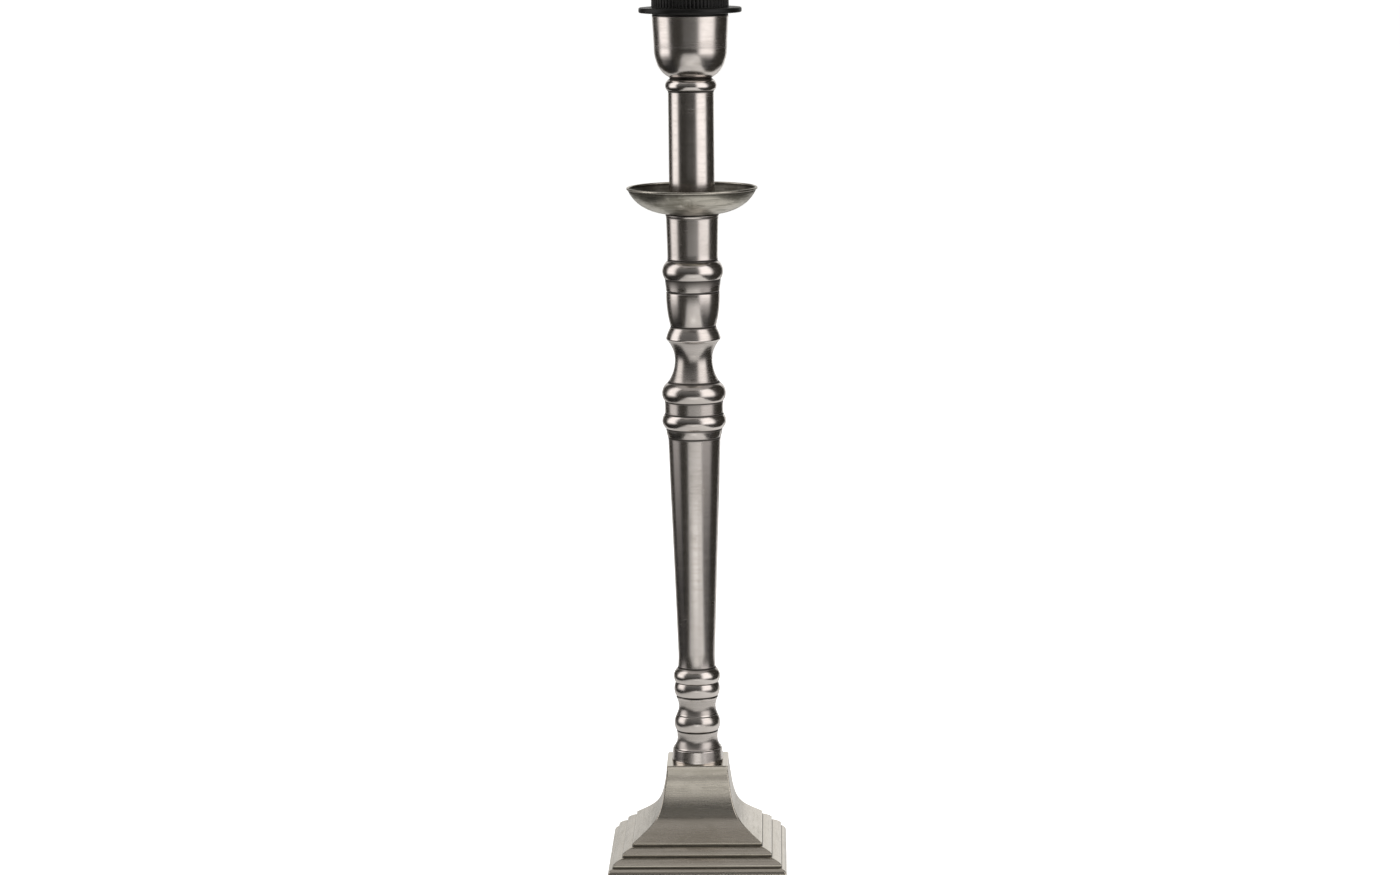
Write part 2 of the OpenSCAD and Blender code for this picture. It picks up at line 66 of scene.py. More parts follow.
SHARP_EDGE = math.radians(40)  # faces that meet at more than this aren't shaded as one

BODY_RING = "ring"
BODY_PLUNGER = "plunger"
BODY_LAMP = "lamp"


# ------------------------------------------------------------------ outlines of CAD nodes


def grouped(values, gap=SAME_PLACE):
    """The values, with those that lie closer together than gap made equal."""
    order = np.argsort(values)
    group = np.concatenate([[0], np.cumsum(np.diff(values[order]) > gap)])
    means = np.bincount(group, values[order]) / np.bincount(group)
    equal = np.empty_like(values)
    equal[order] = means[group]
    return equal


def round_reach(co):
    """Distance of each point from the axis."""
    return np.hypot(co[:, 0], co[:, 1])


def square_reach(co):
    """Half width of the square round the axis on which each point lies."""
    return np.maximum(abs(co[:, 0]), abs(co[:, 1]))


def on_mitre(co):
    """Points of a square moulding that lie on one of its four mitres."""
    return abs(abs(co[:, 0]) - abs(co[:, 1])) < SAME_PLACE


def cad_rings(node, reach, keep=None, to_lathe=None):
    """Rings of a CAD node's mesh as [distance from the axis, height], and the pairs that edges join."""
    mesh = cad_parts[node].data
    co = np.array([v.co for v in mesh.vertices], float)
    if to_lathe is not None:
        co = to_lathe(co)
    kept = np.ones(len(co), bool) if keep is None else keep(co)
    outline = np.column_stack([grouped(reach(co)), grouped(co[:, 2])])
    points, ring = np.unique(outline, axis=0, return_inverse=True)
    edges = np.array([e.vertices[:] for e in mesh.edges])
    edges = edges[kept[edges].all(axis=1)]
    if keep is not None:
        same_corner = (np.sign(co[edges[:, 0], :2]) == np.sign(co[edges[:, 1], :2])).all(axis=1)
        edges = edges[same_corner]
    pairs = np.sort(ring[edges], axis=1)
    pairs = np.unique(pairs[pairs[:, 0] != pairs[:, 1]], axis=0)
    return points, pairs


def walked(points, pairs, start):
    """The points in order along the line that the pairs make, from index start."""
    order = [start]
    while True:
        near = [int(b if a == order[-1] else a) for a, b in pairs if order[-1] in (a, b)]
        ahead = [n for n in near if n not in order]
        if not ahead:
            return points[order]
        order.append(ahead[0])


def outward(outline):
    """The outline with its solid on the left, as its faces need it."""
    nxt = np.roll(outline, -1, axis=0)
    area = (outline[:, 0] * nxt[:, 1] - nxt[:, 0] * outline[:, 1]).sum()
    return outline if area > 0 else outline[::-1]


def turned_outline(node, to_lathe=None):
    """The closed outline of a turned CAD node. to_lathe moves points so that its axis becomes Z."""
    points, pairs = cad_rings(node, round_reach, to_lathe=to_lathe)
    return outward(walked(points, pairs, 0))


def unit(v):
    return v / np.linalg.norm(v)


def stops(length, bend, sharp_ends):
    """Shares of a stretch at which it gets points: even, but close together at a sharp end."""
    near = np.array([0.2, 0.6, 1.3]) * MM / length
    near = near[near < 0.45]
    step = CURVED_STEP if bend > math.radians(0.3) else STRAIGHT_STEP
    count = max(1, round(length / step), math.ceil(bend / BEND_STEP))
    shares = [np.linspace(0, 1, count + 1)]
    if sharp_ends[0]:
        shares.append(near)
    if sharp_ends[1]:
        shares.append(1 - near)
    return np.unique(np.round(np.concatenate(shares), 5))


def without_midpoints(points, closed, straight=math.radians(0.5)):
    """The outline without the points that CAD put inside its straight stretches."""
    before = points - np.roll(points, 1, axis=0)
    after = np.roll(points, -1, axis=0) - points
    turn = before[:, 0] * after[:, 1] - before[:, 1] * after[:, 0]
    turn = abs(turn) / (np.linalg.norm(before, axis=1) * np.linalg.norm(after, axis=1))
    kept = turn > math.sin(straight)
    if not closed:
        kept[[0, -1]] = True
    return points[kept]


def curve(a, b, size, leaving, arriving, t):
    """Points at the shares t of a smooth curve from a to b, with its directions at the two ends."""
    return ((2 * t**3 - 3 * t**2 + 1) * a + (t**3 - 2 * t**2 + t) * size * leaving
            + (3 * t**2 - 2 * t**3) * b + (t**3 - t**2) * size * arriving)


def rounding(start, corner, end):
    """Three points that round a corner between the end of one stretch and the start of the next."""
    return [(1 - t) ** 2 * start + 2 * t * (1 - t) * corner + t**2 * end for t in (0.25, 0.5, 0.75)]


def refined(points, fillet=0.22 * MM, sharp=math.radians(14), closed=True):
    """The outline with arcs through its gentle corners and its sharp corners rounded."""
    points = without_midpoints(points, closed)
    n = len(points)
    last = n if closed else n - 1
    leg = [points[(i + 1) % n] - points[i] for i in range(last)]
    size = [np.linalg.norm(v) for v in leg]

    def tangent(i):
        """Direction through point i, or None at a sharp corner."""
        if not closed and i in (0, n - 1):
            return None
        a, b = leg[i - 1] / size[i - 1], leg[i % n] / size[i % n]
        if np.dot(a, b) < math.cos(sharp):
            return None
        long_beside_short = max(size[i - 1], size[i % n]) > 3 * min(size[i - 1], size[i % n])
        if long_beside_short:
            return a if size[i - 1] > size[i % n] else b
        return unit(a / size[i - 1] + b / size[i % n])

    tangents = [tangent(i) for i in range(n)]
    made = []
    for i in range(last):
        a, b, chord = points[i], points[(i + 1) % n], leg[i] / size[i]
        ta, tb = tangents[i], tangents[(i + 1) % n]
        ends = [ta is None, tb is None]
        if ta is None:
            ta = chord if tb is None else 2 * np.dot(tb, chord) * chord - tb
        if tb is None:
            tb = chord if ends[0] else 2 * np.dot(ta, chord) * chord - ta
        cut = min(fillet, 0.35 * size[i]) / size[i]
        low = cut if ends[0] else 0
        high = 1 - cut if ends[1] else 1
        bend = math.acos(min(1, np.dot(ta, tb)))
        t = low + (high - low) * stops(size[i] * (high - low), bend, ends)[:, None]
        made.append((curve(a, b, size[i], ta, tb, t), ends, b))
    outline = []
    for i, (stretch, ends, corner) in enumerate(made):
        outline.extend(stretch if ends[1] else stretch[:-1])
        if ends[1] and (closed or i < last - 1):
            next_stretch = made[(i + 1) % len(made)][0]
            outline.extend(rounding(stretch[-1], corner, next_stretch[0]))
    if not closed and not made[-1][1][1]:
        outline.append(made[-1][0][-1])
    return np.array(outline)


def outline_marks(outline, seam_low=None, seam_high=None, window=0.5 * MM):
    """Each point's length along the outline, and its share of groove and of proud edge, from 0 to 1."""
    full_depth = 0.16 * window
    seam_reach = 0.75 * MM
    steps = np.linalg.norm(np.roll(outline, -1, axis=0) - outline, axis=1)
    along = np.concatenate([[0], np.cumsum(steps)[:-1]])
    total = steps.sum()
    normal = np.roll(outline, -1, axis=0) - np.roll(outline, 1, axis=0)
    normal = np.column_stack([normal[:, 1], -normal[:, 0]])
    normal /= np.linalg.norm(normal, axis=1)[:, None]
    closed_x = np.concatenate([along - total, along, along + total])
    closed_p = np.tile(outline, (3, 1))

    def at(distance):
        return np.column_stack([np.interp(along + distance, closed_x, closed_p[:, k]) for k in (0, 1)])

    around = sum(at(s * window * f) for s in (-1, 1) for f in (0.5, 1, 1.6)) / 6
    depth = ((around - outline) * normal).sum(axis=1) / full_depth
    groove, proud = np.clip(depth, 0, 1), np.clip(-depth, 0, 1)
    for seam, side in ((seam_low, 1), (seam_high, -1)):
        if seam is not None:
            away = (outline[:, 1] - seam) * side
            near = np.clip(1.3 - away / seam_reach, 0, 1)
            groove = np.maximum(groove, near * near * (3 - 2 * near))
    return along, groove, proud * (1 - groove)


# ------------------------------------------------------------------ meshes


def add_marks(mesh, marks):
    """Gives the mesh's points a number each under every mark's name, for the materials to read."""
    for name, values in marks.items():
        attribute = mesh.attributes.new(name, "FLOAT", "POINT")
        attribute.data.foreach_set("value", np.asarray(values, np.float32))


def grid_mesh(name, points, marks=None, wrap_rows=True):
    """Mesh of rows of points: points[row][column]. Columns always close, rows do if wrap_rows."""
    rows, columns = points.shape[:2]
    row = np.arange(rows if wrap_rows else rows - 1)[:, None]
    column = np.arange(columns)[None, :]
    low, high = row * columns, (row + 1) % rows * columns
    ahead = (column + 1) % columns
    faces = np.stack([low + column, low + ahead, high + ahead, high + column], axis=-1)
    mesh = bpy.data.meshes.new(name)
    mesh.from_pydata(points.reshape(-1, 3).tolist(), [], faces.reshape(-1, 4).tolist())
    for key, values in (marks or {}).items():
        add_marks(mesh, {key: np.broadcast_to(values, (rows, columns)).ravel()})
    if not wrap_rows:
        close_ends(mesh)
    mesh.shade_smooth()
    mesh.set_sharp_from_angle(angle=SHARP_EDGE)
    return mesh


def close_ends(mesh):
    """Fills the open rings at the two ends of a grid."""
    shape = bmesh.new()
    shape.from_mesh(mesh)
    bmesh.ops.holes_fill(shape, edges=[e for e in shape.edges if e.is_boundary], sides=0)
    bmesh.ops.recalc_face_normals(shape, faces=shape.faces)
    shape.to_mesh(mesh)
    shape.free()


def finish_piece(name, mesh, material, body, node):
    """Puts the mesh in the scene as a piece that stands for a CAD node and rides on its body."""
    piece = bpy.data.objects.new(name, mesh)
    bpy.context.scene.collection.objects.link(piece)
    mesh.materials.append(material)
    even = piece.modifiers.new("even_shading", "WEIGHTED_NORMAL")
    even.keep_sharp = True
    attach(piece, body)
    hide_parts(node)
    return piece


def lathed(outline, segments=TURNS, shift=None):
    """Points of an outline turned round Z. shift(radius, height, angle) says how far each moves out."""
    angle = np.arange(segments) * 2 * math.pi / segments
    radius = np.repeat(outline[:, :1], segments, axis=1)
    height = np.repeat(outline[:, 1:], segments, axis=1)
    turn = np.repeat(angle[None, :], len(outline), axis=0)
    if shift is not None:
        radius = radius + shift(radius, height, turn)
    return np.stack([radius * np.cos(turn), radius * np.sin(turn), height], axis=-1)


def arc(centre, radius, start, end, count):
    """Points of a circle from one angle to another, in degrees."""
    angle = np.radians(np.linspace(start, end, count))
    return np.asarray(centre) + radius * np.column_stack([np.cos(angle), np.sin(angle)])


def bored(mesh, radius, height, start, end):
    """The mesh with a round hole through it along Y, at x 0 and that height."""
    circle = arc((0, height), radius, 0, 360, 65)[:-1]
    rows = np.array([[(x, y, z) for x, z in circle] for y in (start, end)])
    drill = bpy.data.objects.new("drill", grid_mesh("drill", rows, wrap_rows=False))
    work = bpy.data.objects.new("work", mesh)
    for helper in (drill, work):
        bpy.context.scene.collection.objects.link(helper)
    cut = work.modifiers.new("cut", "BOOLEAN")
    cut.object = drill
    cut.solver = "EXACT"
    made = bpy.data.meshes.new_from_object(work.evaluated_get(bpy.context.evaluated_depsgraph_get()))
    for helper in (drill, work):
        bpy.data.objects.remove(helper)
    made.set_sharp_from_angle(angle=SHARP_EDGE)
    return made


def resampled(outline, spacing):
    """The outline with more points, so that none are further apart than the spacing."""
    points = []
    for a, b in zip(outline, np.roll(outline, -1, axis=0)):
        count = max(1, math.ceil(np.linalg.norm(b - a) / spacing))
        points.extend(a + (b - a) * i / count for i in range(count))
    return np.array(points)


def thread(height, turn, pitch, low, high, flanks):
    """Right-hand thread as heights from 0 to 1, fading out at both ends.

    flanks is how much of the pitch the two slopes take.
    """
    run_out = 0.8 * MM
    phase = (height / pitch - turn / (2 * math.pi)) % 1
    ridge = np.clip((abs(2 * phase - 1) - 0.5) / flanks + 0.5, 0, 1)
    ridge = ridge * ridge * (3 - 2 * ridge)
    fade = np.clip(np.minimum(height - low, high - height) / run_out, 0, 1)
    return ridge * fade


def turned_mesh(name, outline, seam_low=None, seam_high=None, painted_shade=None):
    """Mesh of a turned piece with its marks. Its last argument adds painted shade to the groove mark of
    each point of the outline.
    """
    along, groove, proud = outline_marks(outline, seam_low, seam_high)
    if painted_shade is not None:
        groove = np.maximum(groove, painted_shade)
    marks = {"along": along[:, None], "groove": groove[:, None], "proud": proud[:, None]}
    return grid_mesh(name, lathed(outline), marks)


# ------------------------------------------------------------------ material building blocks


class Shader:
    """A node material with short ways to add nodes. Sockets are named, and values are set on them."""

    def __init__(self, name):
        self.material = bpy.data.materials.new(name)
        self.material.use_nodes = True
        self.tree = self.material.node_tree
        self.surface = self.tree.nodes["Principled BSDF"]
        self.place = self.node("ShaderNodeTexCoord").outputs["Object"]

    def node(self, kind, **settings):
        """A new node with its settings made."""
        made = self.tree.nodes.new(kind)
        for key, value in settings.items():
            setattr(made, key, value)
        return made

    def fill(self, node, values):
        """Sets a node's sockets, each to a value or to what another node gives."""
        for key, value in values.items():
            if isinstance(value, bpy.types.NodeSocket):
                self.tree.links.new(value, node.inputs[key])
            else:
                node.inputs[key].default_value = value
        return node

    def stretched(self, scale):
        """Object coordinates, with each axis scaled."""
        made = self.node("ShaderNodeMapping")
        return self.fill(made, {"Vector": self.place, "Scale": scale}).outputs[0]

    def attribute(self, name):
        """One of the marks that the mesh's points carry."""
        return self.node("ShaderNodeAttribute", attribute_name=name).outputs["Fac"]

    def noise(self, vector, scale=1.0, detail=3.0, roughness=0.5, distortion=0.0):
        values = {"Vector": vector, "Scale": scale, "Detail": detail, "Roughness": roughness,
                  "Distortion": distortion}
        return self.fill(self.node("ShaderNodeTexNoise"), values).outputs["Fac"]

    def math(self, operation, a, b=0.0, c=0.0, clamp=False):
        made = self.node("ShaderNodeMath", operation=operation, use_clamp=clamp)
        return self.fill(made, {0: a, 1: b, 2: c}).outputs[0]

    def between(self, value, low, high, to_low=0.0, to_high=1.0):
        """value from low to high, turned into to_low to to_high."""
        values = {"Value": value, "From Min": low, "From Max": high, "To Min": to_low,
                  "To Max": to_high}
        made = self.node("ShaderNodeMapRange", interpolation_type="SMOOTHSTEP")
        return self.fill(made, values).outputs["Result"]

    def mixed(self, share, a, b):
        """Colour a where share is 0 and b where it is 1."""
        made = self.node("ShaderNodeMix", data_type="RGBA")
        colours = [c if isinstance(c, bpy.types.NodeSocket) else (*c, 1.0) for c in (a, b)]
        return self.fill(made, {"Factor": share, 6: colours[0], 7: colours[1]}).outputs[2]

    def line_field(self):
        """Coordinates whose Z runs along the outline, for noise that makes lathe rings."""
        axes = self.fill(self.node("ShaderNodeSeparateXYZ"), {0: self.place})
        joined = {"X": axes.outputs["X"], "Y": axes.outputs["Y"], "Z": self.attribute("along")}
        return self.fill(self.node("ShaderNodeCombineXYZ"), joined).outputs[0]

    def scaled(self, vector, scale):
        """The vector with each axis scaled."""
        made = self.node("ShaderNodeVectorMath", operation="MULTIPLY")
        return self.fill(made, {0: vector, 1: scale}).outputs[0]

    def bumped(self, *layers):
        """Bump from (height, strength, distance in metres) layers."""
        normal = None
        for height, strength, distance in layers:
            bump = self.node("ShaderNodeBump")
            values = {"Height": height, "Strength": strength, "Distance": distance}
            if normal is not None:
                values["Normal"] = normal
            normal = self.fill(bump, values).outputs[0]
        return normal

    def done(self, **sockets):
        """Sets the shader's sockets, with _ for a space in their names."""
        self.fill(self.surface, {key.replace("_", " "): value for key, value in sockets.items()})
        return self.material


def antique_silver(name, bright, tarnish, grime_and_shade, satin, brushing, patches, streaky, cloud_scale=55,
                   cloud_edge=(0.38, 0.7), anisotropic=0.0):
    """Nickel silver, brushed along the lathe or the moulding, tarnished in patches, dark in grooves and
    at seams with patina and painted shade, lighter on proud edges with wear and a painted glint.

    satin is the roughness, brushing the depth of the brush lines, patches and streaky how much the
    tarnish shows in clouds and in streaks along the lathe or the moulding.
    """
    s = Shader(name)
    lines = s.line_field()
    fine = s.noise(s.scaled(lines, (45, 45, 4200)), detail=2)
    bands = s.noise(s.scaled(lines, (22, 22, 520)), detail=3, roughness=0.6)
    clouds = s.noise(s.place, scale=cloud_scale, detail=5, roughness=0.62, distortion=0.4)
    streaks = s.noise(s.scaled(lines, (70, 70, 620)), detail=4, roughness=0.6, distortion=0.5)
    specks = s.noise(s.place, scale=900, detail=2)
    groove, proud = s.attribute("groove"), s.attribute("proud")

    haze = s.math("MULTIPLY", s.between(clouds, *cloud_edge), s.between(bands, 0.3, 0.75, 0.5, 1))
    haze = s.math("MULTIPLY", haze, patches)
    colour = s.mixed(haze, bright, tarnish)
    colour = s.mixed(s.between(bands, 0.52, 0.78, 0, 0.12), colour, tarnish)
    colour = s.mixed(s.between(streaks, 0.48, 0.68, 0, streaky), colour, tarnish)
    colour = s.mixed(s.between(specks, 0.70, 0.8, 0, 0.2), colour, grime_and_shade)
    # Grooves and the seams between pieces take the grime colour: partly patina in the hollows, partly
    # painted shade.
    patina_and_shade = s.math("MULTIPLY", groove, s.between(clouds, 0.2, 0.6, 1, 0.86))
    colour = s.mixed(patina_and_shade, colour, grime_and_shade)
    # Proud edges are lightened past the bright metal: partly rubbed wear, partly a painted glint.
    rubbed_and_glint = tuple(min(1, 1.12 * c) for c in bright)
    colour = s.mixed(s.math("MULTIPLY", proud, 0.5), colour, rubbed_and_glint)

    rough = s.math("MULTIPLY_ADD", haze, 0.12, satin)
    rough = s.math("MULTIPLY_ADD", s.between(streaks, 0.4, 0.7), 0.2 * streaky, rough)
    rough = s.math("MULTIPLY_ADD", s.between(fine, 0.3, 0.7), 0.05, rough)
    rough = s.math("MULTIPLY_ADD", patina_and_shade, 0.3, rough)
    rough = s.math("MULTIPLY_ADD", proud, -0.05, rough, clamp=True)
    normal = s.bumped((clouds, 1.0, 0.003 * MM), (bands, 1.0, 0.0003 * brushing * MM),
                      (fine, 1.0, 0.0010 * brushing * MM))
    if anisotropic:
        tangent = s.node("ShaderNodeTangent", direction_type="RADIAL", axis="Z").outputs[0]
        s.fill(s.surface, {"Anisotropic": anisotropic, "Tangent": tangent})
    return s.done(Base_Color=colour, Metallic=1.0, Roughness=rough, Normal=normal)


column_silver = antique_silver("column_silver", bright=(0.67, 0.63, 0.60), tarnish=(0.42, 0.38, 0.33),
                               grime_and_shade=(0.020, 0.017, 0.013), satin=0.18, brushing=0.7, patches=0.35,
                               streaky=0.12, anisotropic=0.3)
base_silver = antique_silver("base_silver", bright=(0.62, 0.58, 0.51), tarnish=(0.38, 0.35, 0.28),
                             grime_and_shade=(0.085, 0.077, 0.060), satin=0.20, brushing=1.0, patches=0.35,
                             streaky=0.25)
pan_silver = antique_silver("pan_silver", bright=(0.52, 0.495, 0.435), tarnish=(0.17, 0.16, 0.125),
                            grime_and_shade=(0.035, 0.030, 0.022), satin=0.26, brushing=0.4, patches=0.95,
                            streaky=0.7, cloud_scale=60, cloud_edge=(0.43, 0.56))


def moulded_plastic():
    """Satin black moulded plastic: faint grain, dust-grey sheen lines and slightly uneven gloss."""
    s = Shader("black_plastic")
    grain = s.noise(s.place, scale=2600, detail=2)
    flow = s.noise(s.stretched((90, 90, 240)), detail=4, roughness=0.6)
    colour = s.mixed(s.between(flow, 0.35, 0.75), (0.003, 0.003, 0.0027), (0.008, 0.008, 0.0075))
    rough = s.math("MULTIPLY_ADD", s.between(flow, 0.3, 0.7), 0.12, 0.34)
    normal = s.bumped((flow, 1.0, 0.008 * MM), (grain, 1.0, 0.0015 * MM))
    return s.done(Base_Color=colour, Roughness=rough, Normal=normal, Specular_IOR_Level=0.25)


def wool_felt():
    """Dark green felt: matted fibres in two sizes, with a dull nap."""
    s = Shader("felt")
    fibres = s.noise(s.stretched((900, 2600, 1500)), detail=4, roughness=0.7, distortion=1.2)
    crossed = s.noise(s.stretched((2600, 900, 1500)), detail=4, roughness=0.7, distortion=1.2)
    mat = s.math("MAXIMUM", fibres, crossed)
    clouds = s.noise(s.place, scale=70, detail=3)
    colour = s.mixed(s.between(mat, 0.4, 0.75), (0.008, 0.022, 0.015), (0.035, 0.075, 0.055))
    colour = s.mixed(s.between(clouds, 0.4, 0.7, 0, 0.35), colour, (0.02, 0.04, 0.03))
    normal = s.bumped((mat, 0.8, 0.18 * MM))
    return s.done(Base_Color=colour, Roughness=0.95, Normal=normal, Sheen_Weight=0.3)


def sand_cast_iron():
    """Grey iron as cast: a coarse sandy skin with rust in its hollows."""
    s = Shader("cast_iron")
    sand = s.noise(s.place, scale=1300, detail=5, roughness=0.7)
    lumps = s.noise(s.place, scale=160, detail=4)
    rust = s.between(s.noise(s.place, scale=60, detail=5, roughness=0.65), 0.52, 0.7)
    colour = s.mixed(s.between(sand, 0.35, 0.7), (0.05, 0.048, 0.046), (0.15, 0.145, 0.14))
    colour = s.mixed(s.math("MULTIPLY", rust, 0.7), colour, (0.17, 0.07, 0.03))
    rough = s.between(sand, 0.3, 0.7, 0.55, 0.8)
    normal = s.bumped((lumps, 0.5, 0.3 * MM), (sand, 0.8, 0.12 * MM))
    return s.done(Base_Color=colour, Metallic=0.6, Roughness=rough, Normal=normal)


def plain_metal(name, bright, dull, spots, satin):
    """Machined or plated metal for the fittings: tool marks, dull clouds and small spots."""
    s = Shader(name)
    marks = s.noise(s.stretched((260, 260, 5200)), detail=3, roughness=0.6)
    clouds = s.noise(s.place, scale=240, detail=4, roughness=0.6)
    dots = s.noise(s.place, scale=1500, detail=2)
    colour = s.mixed(s.between(clouds, 0.35, 0.7), bright, dull)
    colour = s.mixed(s.between(dots, 0.66, 0.78, 0, 0.5), colour, spots)
    rough = s.math("MULTIPLY_ADD", s.between(clouds, 0.3, 0.7), 0.14, satin)
    normal = s.bumped((marks, 1.0, 0.0006 * MM), (clouds, 1.0, 0.003 * MM))
    return s.done(Base_Color=colour, Metallic=1.0, Roughness=rough, Normal=normal)


def unglazed_steatite():
    """Cream technical ceramic: a fine grain, faint kiln marks and small dark specks."""
    s = Shader("steatite")
    grain = s.noise(s.place, scale=2400, detail=3)
    clouds = s.noise(s.place, scale=200, detail=4)
    specks = s.noise(s.place, scale=1100, detail=1)
    colour = s.mixed(s.between(clouds, 0.35, 0.7), (0.80, 0.76, 0.67), (0.70, 0.65, 0.55))
    colour = s.mixed(s.between(specks, 0.7, 0.78, 0, 0.6), colour, (0.30, 0.26, 0.2))
    normal = s.bumped((clouds, 1.0, 0.006 * MM), (grain, 1.0, 0.002 * MM))
    return s.done(Base_Color=colour, Roughness=s.between(grain, 0.3, 0.7, 0.45, 0.62), Normal=normal)


black_plastic = moulded_plastic()
felt = wool_felt()
cast_iron = sand_cast_iron()
steatite = unglazed_steatite()
zinc_steel = plain_metal("zinc_steel", bright=(0.60, 0.60, 0.60), dull=(0.44, 0.45, 0.47),
                         spots=(0.75, 0.75, 0.74), satin=0.28)
brass = plain_metal("brass", bright=(0.80, 0.60, 0.28), dull=(0.62, 0.44, 0.19),
                    spots=(0.30, 0.20, 0.08), satin=0.24)


# ------------------------------------------------------------------ turned column


def turned_piece(node, clean_below=False):
    """One turned piece of the column, with dark seams where it meets its neighbours."""
    low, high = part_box(node)
    outline = refined(turned_outline(node))
    mesh = turned_mesh(node + "_turned", outline, None if clean_below else low.z, high.z)
    finish_piece(node + "_turned", mesh, column_silver, BODY_LAMP, node)


for node in ("column_foot", "spool", "lower_knop", "tapered_shaft", "twin_bead_knop", "waist",
             "barrel_knop", "upper_knop", "upper_sleeve", "candle_tube", "neck_ring", "holder_cup"):
    turned_piece(node, clean_below=node in ("column_foot", "holder_cup"))


def drip_pan():
    """Spun bowl with a rolled rim: the bowl comes from CAD, and the rim is one smooth circle."""
    points, pairs = cad_rings("drip_pan", round_reach)
    low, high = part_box("drip_pan")
    rim_r = 0.7 * MM
    rim_height = 1.2 * MM
    # How dark the inside of the bowl is painted, as a share of a groove: painted shade.
    shade_inside = 0.7
    rim = np.array([high.x - rim_r, high.z - rim_r])
    off_rim = np.linalg.norm(points - rim, axis=1) > rim_r + 0.005 * MM
    pairs = pairs[off_rim[pairs].all(axis=1)]
    joined = np.bincount(pairs.ravel(), minlength=len(points))
    ends = np.flatnonzero(joined == 1)
    outer_end = ends[np.argmin(points[ends, 1])]
    bowl = walked(points, pairs, outer_end)[::-1]
    bowl = refined(bowl, closed=False)
    inner, outer = bowl[0] - rim, bowl[-1] - rim
    start, end = math.atan2(outer[1], outer[0]), math.atan2(inner[1], inner[0])
    if end < start:
        end += 2 * math.pi
    rolled = arc(rim, rim_r, math.degrees(start), math.degrees(end), 26)[1:-1]
    outline = outward(np.concatenate([bowl, rolled]))
    ahead = np.roll(outline, -1, axis=0) - np.roll(outline, 1, axis=0)
    faces_up = ahead[:, 0] < 0
    # Painted shade: the inside of the bowl, where it faces up below the rim, gets the dark of a groove.
    painted_shade = np.where(faces_up & (outline[:, 1] < high.z - rim_height), shade_inside, 0)
    mesh = turned_mesh("drip_pan_spun", outline, low.z, None, painted_shade)
    finish_piece("drip_pan_spun", mesh, pan_silver, BODY_LAMP, "drip_pan")


drip_pan()


# ------------------------------------------------------------------ square foot


def square_ring(half, corner, side=16, arc=4):
    """Points round a square of that half width with rounded corners, the same number for any size."""
    inner = half - corner
    quarter = [(half, inner * (2 * i / side - 1)) for i in range(side)]
    for i in range(arc):
        angle = math.pi / 2 * i / arc
        quarter.append((inner + corner * math.cos(angle), inner + corner * math.sin(angle)))
    ring = []
    for turn in range(4):
        c, s = round(math.cos(turn * math.pi / 2)), round(math.sin(turn * math.pi / 2))
        ring += [(c * x - s * y, s * x + c * y) for x, y in quarter]
    return np.array(ring)


def level(ring, height):
    """The points of a ring at one height."""
    return np.column_stack([ring, np.full(len(ring), height)])


def base_shell():
    """The cast foot: its moulding runs round four sides and turns at softened mitres."""
    points, pairs = cad_rings("base_shell", square_reach, keep=on_mitre)
    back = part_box("base_shell")[1].y
    joined = np.bincount(pairs.ravel(), minlength=len(points))
    ends = np.flatnonzero(joined == 1)
    ceiling = ends[np.argmin(points[ends, 1])]
    chain = refined(walked(points, pairs, ceiling), fillet=0.3 * MM, closed=False)
    bore_r = 5.25 * MM
    mitre = 0.8 * MM
    wear_and_glint_reach = 1.1 * MM
    rows = [level(square_ring(reach, mitre), height) for reach, height in chain]
    for reach, height in (chain[-1], chain[0]):
        ring = square_ring(reach, mitre)
        rows.append(level(bore_r * ring / np.linalg.norm(ring, axis=1)[:, None], height))
    outline = np.concatenate([chain, [[bore_r, chain[-1][1]], [bore_r, chain[0][1]]]])
    along, groove, proud = outline_marks(outline)
    rows = np.array(rows)
    to_mitre = abs(abs(rows[..., 0]) - abs(rows[..., 1]))
    # Points near a mitre count as proud edge and are lightened: partly wear, partly a painted glint
    # along the mitres.
    mitre_wear_and_glint = np.clip(1 - to_mitre / wear_and_glint_reach, 0, 1) * (np.arange(len(rows)) < len(chain))[:, None]
    proud = np.maximum(proud[:, None], 0.9 * mitre_wear_and_glint * (1 - groove[:, None]))
    marks = {"along": along[:, None], "groove": groove[:, None], "proud": proud}
    mesh = grid_mesh("base_shell_cast", rows, marks)
    bush_low, bush_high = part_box("cord_bush")
    mesh = bored(mesh, radius=4 * MM, height=(bush_low.z + bush_high.z) / 2, start=back - 6 * MM,
                 end=back + 2 * MM)
    finish_piece("base_shell_cast", mesh, base_silver, BODY_LAMP, "base_shell")


base_shell()


def felt_pad():
    """Felt cut a little smaller than the foot, with soft edges."""
    low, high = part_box("felt_pad")
    soft = 0.5 * MM
    edge = np.concatenate([arc((high.x - soft, low.z + soft), soft, -90, 0, 5),
                           arc((high.x - soft, high.z - soft), soft, 0, 90, 5)])
    rows = np.array([level(square_ring(reach, 1.5 * MM), height) for reach, height in edge])
    mesh = grid_mesh("felt_pad_cut", rows, wrap_rows=False)
    finish_piece("felt_pad_cut", mesh, felt, BODY_LAMP, "felt_pad")


felt_pad()


def cord_bush():
    """Flanged bush in the back of the plinth, turned about an axis along Y."""
    low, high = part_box("cord_bush")
    axis_z = (low.z + high.z) / 2

    def to_lathe(co):
        return np.column_stack([co[:, 0], co[:, 2] - axis_z, -co[:, 1]])

    points = lathed(refined(turned_outline("cord_bush", to_lathe)), 64)
    points = np.stack([points[..., 0], -points[..., 2], points[..., 1] + axis_z], axis=-1)
    mesh = grid_mesh("cord_bush_moulded", points)
    finish_piece("cord_bush_moulded", mesh, black_plastic, BODY_LAMP, "cord_bush")


cord_bush()


# ------------------------------------------------------------------ lampholder

M40_PITCH = 2.5 * MM
E27_PITCH = 3.6 * MM


